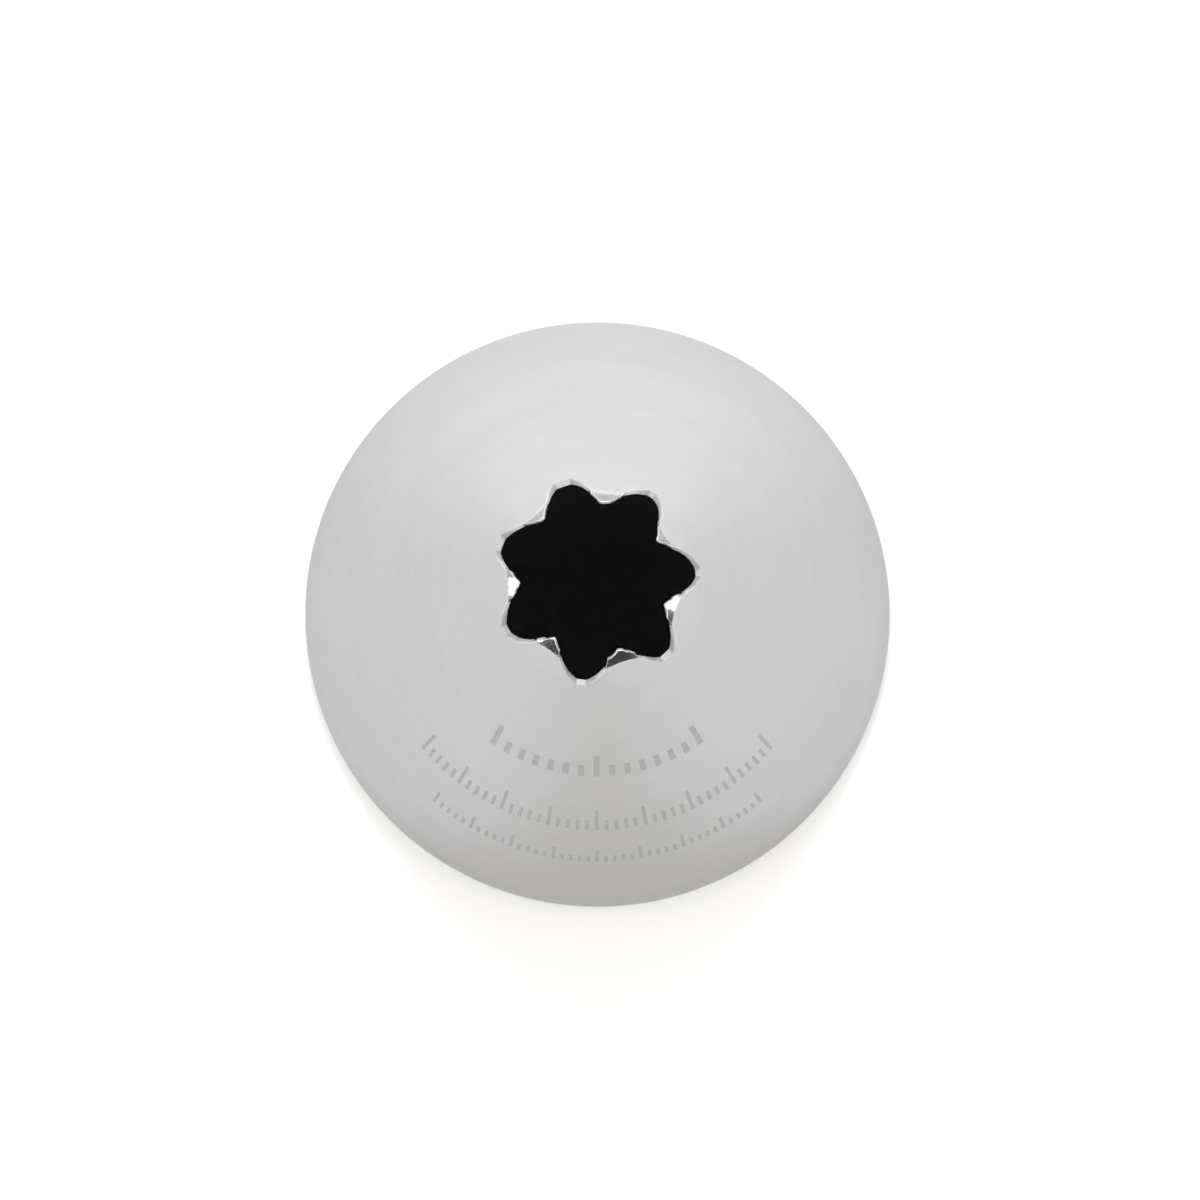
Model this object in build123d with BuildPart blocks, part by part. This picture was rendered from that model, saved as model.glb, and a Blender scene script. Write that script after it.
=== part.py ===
from build123d import *
from math import cos, hypot, radians, sin
import os

os.makedirs("parts", exist_ok=True)

# Open star piping nozzle, drawn without a seam from one disc of stainless steel sheet.
# The sheet is formed into a short straight collar at the open end, a long cone, a slightly
# straighter nose, and pointed teeth round the mouth whose ends are bent inwards.
# Each formed stretch is a solid of its own, and each meets the next face to face.
# Millimetres. The open end stands on Z = 0, the axis is Z and the mouth points up.

# Heights of the formed stretches, measured along the axis from the open end up
collar_height = 1.2
cone_height = 17.8
nose_height = 8.6
tooth_foot_height = 0.3
tooth_height = 1.88
tooth_lip_height = 0.22

# Outside diameters where one stretch turns into the next
collar_diameter = 18.0
forming_line_diameter = 9.76
tooth_root_diameter = 5.86
tooth_crease_diameter = 4.88
tooth_tip_diameter = 4.36

# Wall of the sheet, which thins as the cone is drawn out
collar_wall = 0.35
forming_line_wall = 0.28
crown_wall = 0.18
lip_rounding_share = 0.35

# Notches between the teeth: widths at the floor, at the teeth's crease and at their tips
tooth_count = 7
first_notch_turn = 4.0
notch_floor_width = 0.31
notch_crease_width = 1.28
notch_mouth_width = 1.70
notch_corner_share = 0.45
cut_overrun = 0.5

# Heights above the open end
forming_line_level = collar_height + cone_height
tooth_foot_level = forming_line_level + nose_height
tooth_root_level = tooth_foot_level + tooth_foot_height
tooth_crease_level = tooth_root_level + tooth_height
overall_height = tooth_crease_level + tooth_lip_height

# Outside radii
collar_radius = collar_diameter / 2
forming_line_radius = forming_line_diameter / 2
tooth_root_radius = tooth_root_diameter / 2
tooth_crease_radius = tooth_crease_diameter / 2
tooth_tip_radius = tooth_tip_diameter / 2
tooth_pitch = 360 / tooth_count

# The teeth's feet carry on the nose's wall up to the floors of the notches
nose_share = nose_height / (nose_height + tooth_foot_height)
tooth_foot_radius = forming_line_radius + (tooth_root_radius - forming_line_radius) * nose_share
tooth_foot_wall = forming_line_wall + (crown_wall - forming_line_wall) * nose_share


def save(piece, name):
    """Label one finished piece and write it under its node name."""
    piece.label = name
    export_step(piece, f"parts/{name}.step")


def wall_corners(low_level, low_radius, low_wall, high_level, high_radius, high_wall):
    """Corners of the cut wall of one formed stretch, which is flat at both ends."""
    return (
        (low_radius - low_wall, low_level),
        (low_radius, low_level),
        (high_radius, high_level),
        (high_radius - high_wall, high_level),
    )


# Collar: the straight land at the open end, where the drawn blank was trimmed and its edge eased
with BuildPart() as base_rim:
    with BuildSketch(Plane.XZ):
        with BuildLine():
            Polyline(
                *wall_corners(0, collar_radius, collar_wall,
                              collar_height, collar_radius, collar_wall),
                close=True,
            )
        make_face()
    revolve(axis=Axis.Z)
    fillet(base_rim.edges().group_by(Axis.Z)[0], collar_wall * lip_rounding_share)
save(base_rim.part, "base_rim")

# Cone: the long smooth body up to the forming line
with BuildPart() as cone_wall:
    with BuildSketch(Plane.XZ):
        with BuildLine():
            Polyline(
                *wall_corners(collar_height, collar_radius, collar_wall,
                              forming_line_level, forming_line_radius, forming_line_wall),
                close=True,
            )
        make_face()
    revolve(axis=Axis.Z)
save(cone_wall.part, "cone_wall")

# Nose: a shade straighter than the cone, ending flat just under the floors of the notches
with BuildPart() as nose_collar:
    with BuildSketch(Plane.XZ):
        with BuildLine():
            Polyline(
                *wall_corners(forming_line_level, forming_line_radius, forming_line_wall,
                              tooth_foot_level, tooth_foot_radius, tooth_foot_wall),
                close=True,
            )
        make_face()
    revolve(axis=Axis.Z)
save(nose_collar.part, "nose_collar")

# Bent end of a tooth: its sheet lies square to this direction, which runs up and inwards
lip_run = tooth_crease_radius - tooth_tip_radius
lip_length = hypot(lip_run, tooth_lip_height)
tip_inner_radius = tooth_tip_radius - crown_wall * tooth_lip_height / lip_length
tip_inner_level = overall_height - crown_wall * lip_run / lip_length
# The inner crease is where the two inner faces meet: the tooth's own, and the bent end's
inner_slope = (tooth_root_radius - tooth_crease_radius) / tooth_height
lip_slope = lip_run / tooth_lip_height
inner_root_radius = tooth_root_radius - crown_wall
inner_crease_level = (inner_root_radius - tip_inner_radius + inner_slope * tooth_root_level
                      - lip_slope * tip_inner_level) / (inner_slope - lip_slope)
inner_crease_radius = inner_root_radius - inner_slope * (inner_crease_level - tooth_root_level)


def notch_plane(turn):
    """Plane at the notch floors that looks out from the axis along one notch."""
    outwards = (cos(radians(turn)), sin(radians(turn)), 0)
    sideways = (-sin(radians(turn)), cos(radians(turn)), 0)
    return Plane(origin=(0, 0, tooth_root_level), x_dir=sideways, z_dir=outwards)


# Teeth: one for each pitch of the crown, with half a notch cut away on either side.
# Below the notch floors the feet of neighbours meet, so together they close the ring.
for number in range(tooth_count):
    turn = first_notch_turn + number * tooth_pitch
    with BuildPart() as star_tooth:
        with BuildSketch(Plane.XZ.rotated((0, 0, turn))):
            with BuildLine():
                Polyline(
                    (inner_root_radius, tooth_root_level),
                    (tooth_foot_radius - tooth_foot_wall, tooth_foot_level),
                    (tooth_foot_radius, tooth_foot_level),
                    (tooth_root_radius, tooth_root_level),
                    (tooth_crease_radius, tooth_crease_level),
                    (tooth_tip_radius, overall_height),
                    (tip_inner_radius, tip_inner_level),
                    (inner_crease_radius, inner_crease_level),
                    close=True,
                )
            make_face()
        revolve(axis=Axis.Z, revolution_arc=tooth_pitch)
        for notch_turn in (turn, turn + tooth_pitch):
            with BuildSketch(notch_plane(notch_turn)):
                with BuildLine():
                    flank = FilletPolyline(
                        (0, 0),
                        (notch_floor_width / 2, 0),
                        (notch_crease_width / 2, tooth_height),
                        radius=notch_floor_width * notch_corner_share,
                    )
                    shoulder = TangentArc(
                        flank @ 1,
                        (notch_mouth_width / 2, tooth_height + tooth_lip_height),
                        tangent=flank % 1,
                    )
                    Polyline(
                        shoulder @ 1,
                        (notch_mouth_width / 2, tooth_height + tooth_lip_height + cut_overrun),
                        (0, tooth_height + tooth_lip_height + cut_overrun),
                        (0, 0),
                    )
                make_face()
                mirror(about=Plane.YZ)
            extrude(amount=tooth_root_radius + cut_overrun, mode=Mode.SUBTRACT)
    save(star_tooth.part, f"star_tooth_{number + 1}")
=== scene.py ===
"""Looks of an open star piping nozzle: drawn steel skins, bent teeth, steel finishes, a studio.

The nozzle is a single drawn sheet, so every piece is a stretch of one surface. That surface is
worked out in numpy from the sheet's outside line, its wall and, round the mouth, the teeth.
Lengths in the sheet's classes are millimetres. Meshes, lights and the floor are in metres.
"""

import logging
import math
from dataclasses import dataclass, field, fields
from enum import Enum
from typing import Union

import bpy
import numpy as np
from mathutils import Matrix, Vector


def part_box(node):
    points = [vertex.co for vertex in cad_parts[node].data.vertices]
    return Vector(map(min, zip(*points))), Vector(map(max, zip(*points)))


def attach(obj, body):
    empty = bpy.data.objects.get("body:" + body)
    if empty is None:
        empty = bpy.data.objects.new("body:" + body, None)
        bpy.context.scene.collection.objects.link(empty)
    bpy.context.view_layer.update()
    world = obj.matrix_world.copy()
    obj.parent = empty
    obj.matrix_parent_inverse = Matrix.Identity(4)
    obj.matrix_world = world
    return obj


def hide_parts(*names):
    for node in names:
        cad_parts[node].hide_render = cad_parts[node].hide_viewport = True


MM = 0.001
BODY = "root"
LOG = logging.getLogger("piping_nozzle")

# Radians of turn, or millimetres of level, over which the directions of a surface are measured
PROBE_STEP = 1e-4
# Twice the area in square metres at which a face has shrunk to a line and is left out
LEAST_FACE = 1e-18
# Span of a mask or a share from nothing to fully
WHOLE = (0.0, 1.0)

Array = np.ndarray
Triple = tuple[float, float, float]
Colour = Triple
Span = tuple[float, float]
Socket = bpy.types.NodeSocket
Source = Union[Socket, float, tuple[float, ...]]

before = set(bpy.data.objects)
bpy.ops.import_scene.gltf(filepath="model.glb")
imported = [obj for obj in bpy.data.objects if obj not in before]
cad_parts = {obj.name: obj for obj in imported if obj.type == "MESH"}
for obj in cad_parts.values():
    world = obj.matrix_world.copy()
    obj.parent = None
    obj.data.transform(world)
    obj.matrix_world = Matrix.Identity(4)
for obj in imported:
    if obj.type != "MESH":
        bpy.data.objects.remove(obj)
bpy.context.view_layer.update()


class Slot(Enum):
    """Material slots of the record."""

    SATIN = "satin_steel"
    BRIGHT = "bright_steel"


class Mask(Enum):
    """Masks that a skin carries in its mesh: on the inside, on a cut edge, on a bent end."""

    # The inside mask also lays on the painted shade of the inside faces.
    INSIDE = "inside"
    # The edge mask, with the bent one, lays on the painted highlight of the cut round a tooth's
    # end.
    EDGE = "edge"
    BENT = "bent"


class Effect(Enum):
    """Effects that the finishes share, each a shader node group of this name."""

    GRAIN = "tumbled_grain"
    LINES = "draw_lines"
    HANDLING = "handling_marks"
    GRADUATION = "graduation_marks"


def soft_ramp(distance: Array, softness: float) -> Array:
    """Ramp that is zero before a bend and rises one for one after it.

    Half the sum of x and the root of x squared plus softness squared, which is a hyperbola
    between the two straight runs.

    Args:
        distance: Distance past the bend.
        softness: Length over which the bend is spread.

    Returns:
        The ramp at each distance.
    """
    return (distance + np.sqrt(distance**2 + softness**2)) / 2


def soft_step(distance: Array, softness: float) -> Array:
    """Slope of the soft ramp, which goes from zero to one across the bend.

    Args:
        distance: Distance past the bend.
        softness: Length over which the bend is spread.

    Returns:
        The step at each distance.
    """
    return (1 + distance / np.sqrt(distance**2 + softness**2)) / 2


def ease(share: Array) -> Array:
    """Smooth rise from 0 to 1: three times the square less twice the cube.

    Args:
        share: Values that are held between 0 and 1 first.

    Returns:
        The eased values.
    """
    held = np.clip(share, 0, 1)
    return held**2 * (3 - 2 * held)


def bend_ramp(distance: Array, reach: float) -> Array:
    """Ramp with a short bend: flat before it, rising one for one after it.

    Within the reach on either side it is the square of distance plus reach, divided by four
    times the reach, which meets both straight runs without a corner.

    Args:
        distance: Distance past the bend.
        reach: Half the length of the bend.

    Returns:
        The ramp at each distance.
    """
    rounded = (np.clip(distance, -reach, reach) + reach) ** 2 / (4 * reach)
    return rounded + np.maximum(distance - reach, 0)


def unit(vectors: Array) -> Array:
    """Vectors along the last axis, each divided by its own length."""
    return vectors / np.linalg.norm(vectors, axis=-1, keepdims=True)


def quarter_circle(steps: int) -> Array:
    """Angles of a quarter circle in even steps, without the first angle, which is zero."""
    return np.linspace(0, np.pi / 2, steps + 1)[1:]


def round_axis(radius: Array, angle: Array, level: Array) -> Array:
    """Points about the axis: radius times cosine and sine of the angle, and the level."""
    return np.stack([radius * np.cos(angle), radius * np.sin(angle), level + 0 * angle], axis=-1)


def high_corner(node: str) -> Array:
    """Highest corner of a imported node, in millimetres."""
    return np.array(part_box(node)[1]) / MM


def linked_object(name: str, data: bpy.types.ID) -> bpy.types.Object:
    """Make an object at the origin and link it to the scene.

    Args:
        name: Name of the object.
        data: Its mesh, light or camera.

    Returns:
        The new object.
    """
    made = bpy.data.objects.new(name, data)
    bpy.context.scene.collection.objects.link(made)
    return made


@dataclass
class DrawnSheet:
    """The drawn sheet as a surface: its outside radius at each turn and level, and its wall.

    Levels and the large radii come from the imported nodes. What a box can't give has its own
    field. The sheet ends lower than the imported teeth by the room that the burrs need.
    """

    root_radius: float = 2.93
    foot_height: float = 0.30
    crease_radius: float = 2.44
    tip_radius: float = 2.13
    lip_height: float = 0.265
    collar_wall: float = 0.35
    forming_line_wall: float = 0.28
    crown_wall: float = 0.17
    collar_bend: float = 0.30
    forming_line_bend: float = 0.70
    root_bend: float = 0.07
    ring_depth: float = 0.011
    ring_spacing: float = 7.8
    ring_start: float = 3.6
    oval_depth: float = 0.010
    oval_phase: float = 0.6
    pear_share: float = 0.5
    pear_phase: float = -1.1
    burr_room: float = 0.006
    collar_level: float = field(init=False)
    collar_radius: float = field(init=False)
    forming_line_level: float = field(init=False)
    forming_line_radius: float = field(init=False)
    foot_level: float = field(init=False)
    root_level: float = field(init=False)
    crease_level: float = field(init=False)
    tip_level: float = field(init=False)

    def __post_init__(self) -> None:
        """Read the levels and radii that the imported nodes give."""
        self.collar_level = high_corner("base_rim")[2]
        self.collar_radius = high_corner("base_rim")[0]
        self.forming_line_level = high_corner("cone_wall")[2]
        self.forming_line_radius = high_corner("nose_collar")[0]
        self.foot_level = high_corner("nose_collar")[2]
        self.root_level = self.foot_level + self.foot_height
        self.tip_level = high_corner("star_tooth_1")[2] - self.burr_room
        self.crease_level = self.tip_level - self.lip_height

    def slopes(self) -> tuple[float, float, float, float]:
        """Change of radius per rise on the cone, the nose, the teeth and their bent ends.

        Returns:
            Four slopes, each a change of radius divided by a height.
        """
        cone = (self.forming_line_radius - self.collar_radius) / (
            self.forming_line_level - self.collar_level
        )
        nose = (self.root_radius - self.forming_line_radius) / (
            self.root_level - self.forming_line_level
        )
        tooth = (self.crease_radius - self.root_radius) / (self.crease_level - self.root_level)
        lip = (self.tip_radius - self.crease_radius) / self.lip_height
        return cone, nose, tooth, lip

    def body_radius(self, turn: Array, level: Array) -> Array:
        """Outside radius without the bent ends of the teeth.

        The collar's radius plus, at each bend, the change of slope times a soft ramp, plus
        shallow draw rings (a sine of the level) and a slight ovality (a cosine of twice and
        of three times the turn). These two fade out towards the collar and the crown as four
        times the share of the way up times what is left of it.

        Args:
            turn: Angle round the axis, in radians.
            level: Height above the open end.

        Returns:
            The outside radius at each place.
        """
        cone, nose, tooth, _ = self.slopes()
        radius = self.collar_radius + cone * soft_ramp(level - self.collar_level, self.collar_bend)
        radius = radius + (nose - cone) * soft_ramp(
            level - self.forming_line_level, self.forming_line_bend
        )
        radius = radius + (tooth - nose) * soft_ramp(level - self.root_level, self.root_bend)
        share = np.clip((level - self.collar_level) / (self.foot_level - self.collar_level), 0, 1)
        window = 4 * share * (1 - share)
        rings = np.sin(2 * np.pi * (level - self.ring_start) / self.ring_spacing)
        oval = np.cos(2 * turn + self.oval_phase)
        oval = oval + self.pear_share * np.cos(3 * turn + self.pear_phase)
        return radius + window * (self.ring_depth * rings + self.oval_depth * oval)

    def radius(self, turn: Array, level: Array) -> Array:
        """Outside radius at each place; the teeth add their bends to it."""
        return self.body_radius(turn, level)

    def wall(self, level: Array) -> Array:
        """Wall square to the sheet: straight runs between the collar, forming line and crown.

        Args:
            level: Height above the open end.

        Returns:
            The wall at each level.
        """
        return np.interp(
            level,
            [self.collar_level, self.forming_line_level, self.root_level],
            [self.collar_wall, self.forming_line_wall, self.crown_wall],
        )

    def place(self, turn: Array, level: Array) -> Array:
        """Points of the outside, along a new last axis, at turns about the axis and levels."""
        return round_axis(self.radius(turn, level), turn, level)

    def frame_at(self, turn: Array, level: Array) -> tuple[Array, Array, Array]:
        """Directions of the outside: along the turn, up the sheet and square to it.

        The first two are central differences of the outside's points over a small step, and
        the third is their cross product, which points outwards.

        Args:
            turn: Angle round the axis, in radians.
            level: Height above the open end.

        Returns:
            The change of the point per radian and per millimetre of level, and the unit normal.
        """
        step = PROBE_STEP
        along = (self.place(turn + step, level) - self.place(turn - step, level)) / (2 * step)
        upward = (self.place(turn, level + step) - self.place(turn, level - step)) / (2 * step)
        return along, upward, unit(np.cross(along, upward))

    def faces(self, turn: Array, level: Array) -> tuple[Array, Array, Array]:
        """Both faces of the sheet: the inside is the outside less the wall times the normal.

        Args:
            turn: Angle round the axis, in radians.
            level: Height above the open end of the outside's points.

        Returns:
            Points of the outside, points of the inside, and the outside's unit normals.
        """
        outside = self.place(turn, level)
        normal = self.frame_at(turn, level)[2]
        return outside, outside - self.wall(level)[..., None] * normal, normal


@dataclass
class ToothBend:
    """How one tooth is cut and bent, each a little unlike the next, as a hand tool leaves it.

    The floors are the turns from the middle of either notch to the foot of the tooth's flank,
    and the tip is half the turn of its flat end. The bow is how far the flanks swell, the
    reach is how far the end leans in, and the lean is how far it turns to one side. The crease
    has a drop below its even level and a bend over which it is spread. The dents have a depth,
    and a phase that sets them and the burrs apart from those of the other teeth.
    """

    low_floor_deg: float
    high_floor_deg: float
    tip_half_deg: float
    bow: float
    reach: float
    lean_deg: float
    crease_drop: float
    crease_bend: float
    dent_depth: float
    dent_phase: float


@dataclass(kw_only=True)
class ToothSheet(DrawnSheet):
    """The drawn sheet round one tooth, with the tooth flattened and its end bent inwards.

    Its turns are measured from the middle of the tooth, and the pitch is the turn between the
    middles of the two notches beside it.
    """

    bend: ToothBend
    centre_turn: float
    pitch: float
    flat_turn: float = math.radians(7)
    flat_haste: float = 1.15
    crease_bow: float = 0.16
    half_chord: float = 0.46
    gloss_spread: float = 2.0
    dent_spacing: float = 0.15
    dent_height_share: float = 0.7
    dent_phase_gain: float = 2.3
    slant_share: float = 0.6
    slant: float = 0.8
    slant_spacing_share: float = 0.8
    floor_corner: float = 0.06
    tip_corner: float = 0.14
    tip_wall: float = 0.10
    line_points: int = 1200

    def wall(self, level: Array) -> Array:
        """Wall square to the sheet, which thins from the notch floors to the tip."""
        return super().wall(level) + (self.tip_wall - self.crown_wall) * self.tooth_share(level)

    def tooth_share(self, level: Array) -> Array:
        """Share of the way from the notch floor to the tip, held between 0 and 1."""
        return np.clip((level - self.root_level) / (self.tip_level - self.root_level), 0, 1)

    def crease_at(self, across: Array) -> Array:
        """Level of the crease: lower towards the flanks as the square of the place across."""
        drop = self.crease_bow * (across / self.half_chord) ** 2
        return self.crease_level - self.bend.crease_drop - drop

    def bent_share(self, turn: Array, level: Array) -> Array:
        """How far a place is onto the bent end: the soft step past the crease.

        Args:
            turn: Angle from the tooth's centre, in radians.
            level: Height above the open end.

        Returns:
            Shares from 0 below the crease to 1 past it.
        """
        across = self.body_radius(turn + self.centre_turn, level) * np.sin(turn)
        return soft_step(level - self.crease_at(across), self.gloss_spread * self.bend.crease_bend)

    def dents(self, across: Array, level: Array) -> Array:
        """Pattern of tool dents: a sine across times a sine up, plus a slanting sine.

        Args:
            across: Distance sideways from the tooth's centre.
            level: Height above the open end.

        Returns:
            Heights for dents of unit depth.
        """
        phase = self.bend.dent_phase
        sideways = np.sin(2 * np.pi * across / self.dent_spacing + phase)
        upright = np.sin(
            2 * np.pi * level / (self.dent_height_share * self.dent_spacing)
            + self.dent_phase_gain * phase
        )
        slanting = np.sin(
            2 * np.pi * (across - self.slant * level)
            / (self.slant_spacing_share * self.dent_spacing) + phase
        )
        return sideways * upright + self.slant_share * slanting

    def radius(self, turn: Array, level: Array) -> Array:
        """Outside radius of the tooth.

        The body's radius, flattened across the tooth towards the crease (divided by the cosine
        of the turn from the tooth's centre), plus the bent end's change of slope times a soft
        ramp past the crease, plus the dents on the bent end, less the tooth's own reach times
        its share of height squared.

        Args:
            turn: Angle from the tooth's centre, in radians.
            level: Height above the open end.

        Returns:
            The outside radius at each place.
        """
        body = self.body_radius(turn + self.centre_turn, level)
        share = self.tooth_share(level)
        flat = ease(share * self.flat_haste) * (np.cos(self.flat_turn) / np.cos(turn) - 1)
        body = body * (1 + flat)
        across = body * np.sin(turn)
        _, _, tooth, lip = self.slopes()
        past = level - self.crease_at(across)
        body = body + (lip - tooth) * soft_ramp(past, self.bend.crease_bend)
        dents = self.bend.dent_depth * self.dents(across, level)
        body = body + dents * soft_step(past, self.bend.crease_bend)
        return body - self.bend.reach * share**2

    def place(self, turn: Array, level: Array) -> Array:
        """Points of the outside, which leans sideways with the square of its share of height.

        Args:
            turn: Angle from the tooth's centre, in radians.
            level: Height above the open end.

        Returns:
            Points along a new last axis.
        """
        lean = math.radians(self.bend.lean_deg) * self.tooth_share(level) ** 2
        return round_axis(self.radius(turn, level), turn + self.centre_turn + lean, level)

    def flank(self, distance: Array, floor: float) -> Array:
        """Share of the way up a flank, from the notch's floor to the tooth's flat end.

        A straight rise with a short bend at its foot and another at its head, bowed outwards
        by the share times what is left of it.

        Args:
            distance: Turn from the middle of the notch.
            floor: Turn from the middle of the notch to the flank's foot.

        Returns:
            Shares from 0 on the floor to 1 at the flat end.
        """
        run = self.pitch / 2 - math.radians(self.bend.tip_half_deg) - floor
        along = (distance - floor) / run
        share = bend_ramp(along, self.floor_corner) - bend_ramp(along - 1, self.tip_corner)
        return share + self.bend.bow * share * (1 - share)

    def cut_share(self, turn: Array) -> Array:
        """Share of the cut's rise at each turn: the product of the two flanks' shares.

        Args:
            turn: Angle from the tooth's centre, in radians.

        Returns:
            Shares from 0 on the notch floors to 1 at the tooth's flat end.
        """
        low = self.flank(turn + self.pitch / 2, math.radians(self.bend.low_floor_deg))
        high = self.flank(self.pitch / 2 - turn, math.radians(self.bend.high_floor_deg))
        return low * high

    def edge_level(self, turn: Array) -> Array:
        """Level of the cut edge at each turn from the tooth's centre.

        Seen along the axis the edge's radius falls from the notch floor's to the tip's by the
        share of the cut's rise. The level is the one at which the even tooth has that radius,
        read back from its outside line.

        Args:
            turn: Angle from the tooth's centre, in radians.

        Returns:
            The level of the edge.
        """
        levels = np.linspace(self.foot_level, self.tip_level, self.line_points)
        _, nose, tooth, lip = self.slopes()
        line = self.root_radius + nose * (levels - self.root_level)
        line = line + (tooth - nose) * soft_ramp(levels - self.root_level, self.root_bend)
        line = line + (lip - tooth) * soft_ramp(levels - self.crease_level, self.bend.crease_bend)
        line = np.minimum.accumulate(line)
        fall = (self.root_radius - line[-1]) * self.cut_share(turn)
        return np.interp(fall - self.root_radius, -line, levels)


@dataclass
class Skin:
    """A skin of points and normals of shape (round, loop, 3), with its masks (round, loop).

    The first axis goes round the nozzle or across a tooth. The second goes along the outside to
    the cut edge or the foot, round it, and back along the inside.
    """

    points: Array
    normals: Array
    inside: Array
    edge: Array
    bent: Array

    @classmethod
    def band(
        cls,
        points: Array,
        normals: Array,
        inside: Union[float, Array] = 0.0,
        edge: Union[float, Array] = 0.0,
        bent: Union[float, Array] = 0.0,
    ) -> "Skin":
        """Make a band of skin, with its masks spread over its points.

        Args:
            points: Points of the band.
            normals: Unit normals of the band.
            inside: Mask of the inside, a number or an array that can be spread.
            edge: Mask of the cut edge.
            bent: Mask of the bent end.

        Returns:
            The band.
        """
        spread = (np.broadcast_to(mask, points.shape[:2]) for mask in (inside, edge, bent))
        return cls(points, normals, *spread)

    @classmethod
    def lap(cls, *bands: "Skin") -> "Skin":
        """Join bands one after another along the loop.

        Args:
            bands: Bands in the order of the loop.

        Returns:
            The skin that they make.
        """
        parts = ([getattr(band, part.name) for band in bands] for part in fields(cls))
        return cls(*(np.concatenate(part, axis=1) for part in parts))


def loop_quads(count: int, loop: int, closed_round: bool) -> Array:
    """Quads between neighbouring columns of a skin.

    The last quad of each column is the flat strip that joins the loop's last place to its
    first.

    Args:
        count: Number of columns.
        loop: Number of places in a column.
        closed_round: Whether the last column joins the first.

    Returns:
        Numbers of the corners, of shape (columns, loop, 4).
    """
    columns = np.arange(count if closed_round else count - 1)[:, None]
    here = columns * loop + np.arange(loop)
    beside = (columns + 1) % count * loop + np.arange(loop)
    return np.stack([here, beside, np.roll(beside, -1, axis=1), np.roll(here, -1, axis=1)], axis=-1)


def end_quads(loop: int) -> Array:
    """Quads of two flat end walls, each a ladder of rungs between the outside and the inside.

    The two ladders are wound opposite ways, because the walls face away from each other.

    Args:
        loop: Number of places in a column.

    Returns:
        Numbers of the corners, counted in the first column and then in the last.
    """
    low = np.arange((loop - 1) // 2)
    ladder = np.stack([low, low + 1, loop - 2 - low, loop - 1 - low], axis=-1)
    return np.concatenate([ladder, ladder[:, ::-1] + loop])


def shell_object(name: str, skin: Skin, closed_round: bool) -> bpy.types.Object:
    """Turn a skin into a closed mesh object in metres, with its own normals and masks.

    A skin that isn't closed round gets a flat wall at either end, on doubled points. Faces
    point the way that the skin's normals do, and those shrunk to a line are left out.

    Args:
        name: Name of the object.
        skin: The skin.
        closed_round: Whether the last column joins the first.

    Returns:
        The new object, linked to the scene.
    """
    count, loop = skin.points.shape[:2]
    quads = loop_quads(count, loop, closed_round)
    flat = np.zeros(quads.shape[:2], dtype=bool)
    flat[:, -1] = True
    quads, flat = quads.reshape(-1, 4), flat.reshape(-1)
    points = skin.points.reshape(-1, 3) * MM
    normals = skin.normals.reshape(-1, 3)
    masks = np.stack([getattr(skin, mask.value) for mask in Mask], axis=-1).reshape(-1, 3)
    if not closed_round:
        ends = end_quads(loop) + len(points)
        quads = np.concatenate([quads, ends])
        flat = np.concatenate([flat, np.ones(len(ends), dtype=bool)])
        first = np.arange(loop)
        doubled = np.concatenate([first, first + (count - 1) * loop])
        points, normals, masks = (
            np.concatenate([values, values[doubled]]) for values in (points, normals, masks)
        )
    corners = points[quads]
    facing = np.cross(corners[:, 2] - corners[:, 0], corners[:, 3] - corners[:, 1])
    length = np.linalg.norm(facing, axis=1)
    agreement = np.sum(facing * normals[quads].mean(axis=1), axis=1)[~flat].sum()
    if agreement < 0:
        quads = quads[:, ::-1]
        facing = -facing
    kept = length > LEAST_FACE
    quads, flat, facing = quads[kept], flat[kept], facing[kept]
    split = normals[quads]
    split[flat] = unit(facing[flat])[:, None, :]

    mesh = bpy.data.meshes.new(name)
    mesh.from_pydata(points, [], quads)
    mesh.polygons.foreach_set("use_smooth", ~flat)
    mesh.normals_split_custom_set(split.reshape(-1, 3))
    for mask, values in zip(Mask, masks.T):
        layer = mesh.attributes.new(mask.value, "FLOAT", "POINT")
        layer.data.foreach_set("value", np.ascontiguousarray(values, dtype=np.float32))
    mesh.update()
    return linked_object(name, mesh)


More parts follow.
